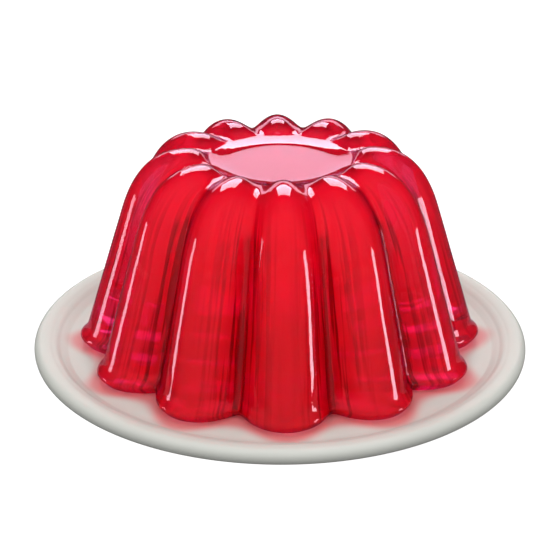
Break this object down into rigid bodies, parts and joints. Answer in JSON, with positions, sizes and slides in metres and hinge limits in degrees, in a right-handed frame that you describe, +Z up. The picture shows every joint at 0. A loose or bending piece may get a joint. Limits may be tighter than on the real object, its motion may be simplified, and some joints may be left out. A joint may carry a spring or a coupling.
{
  "type": "moulded jelly on a plate",
  "caption": "Clear red fluted jelly with a flat dished top, turned out of its mould onto a low round side plate with a rolled rim.",
  "frame": {"origin": "on the table, under the middle of the plate's foot ring", "axes": "+Z up, -Y towards the viewer's side, where the front flute is, +X to the viewer's right"},
  "size_m": [0.17, 0.17, 0.0783],
  "materials": {
    "set_gelatine": "gloss",
    "satin_glazed_china": "satin"
  },
  "bodies": {
    "root": {"jelly": "set_gelatine", "plate": "satin_glazed_china"}
  },
  "joints": []
}
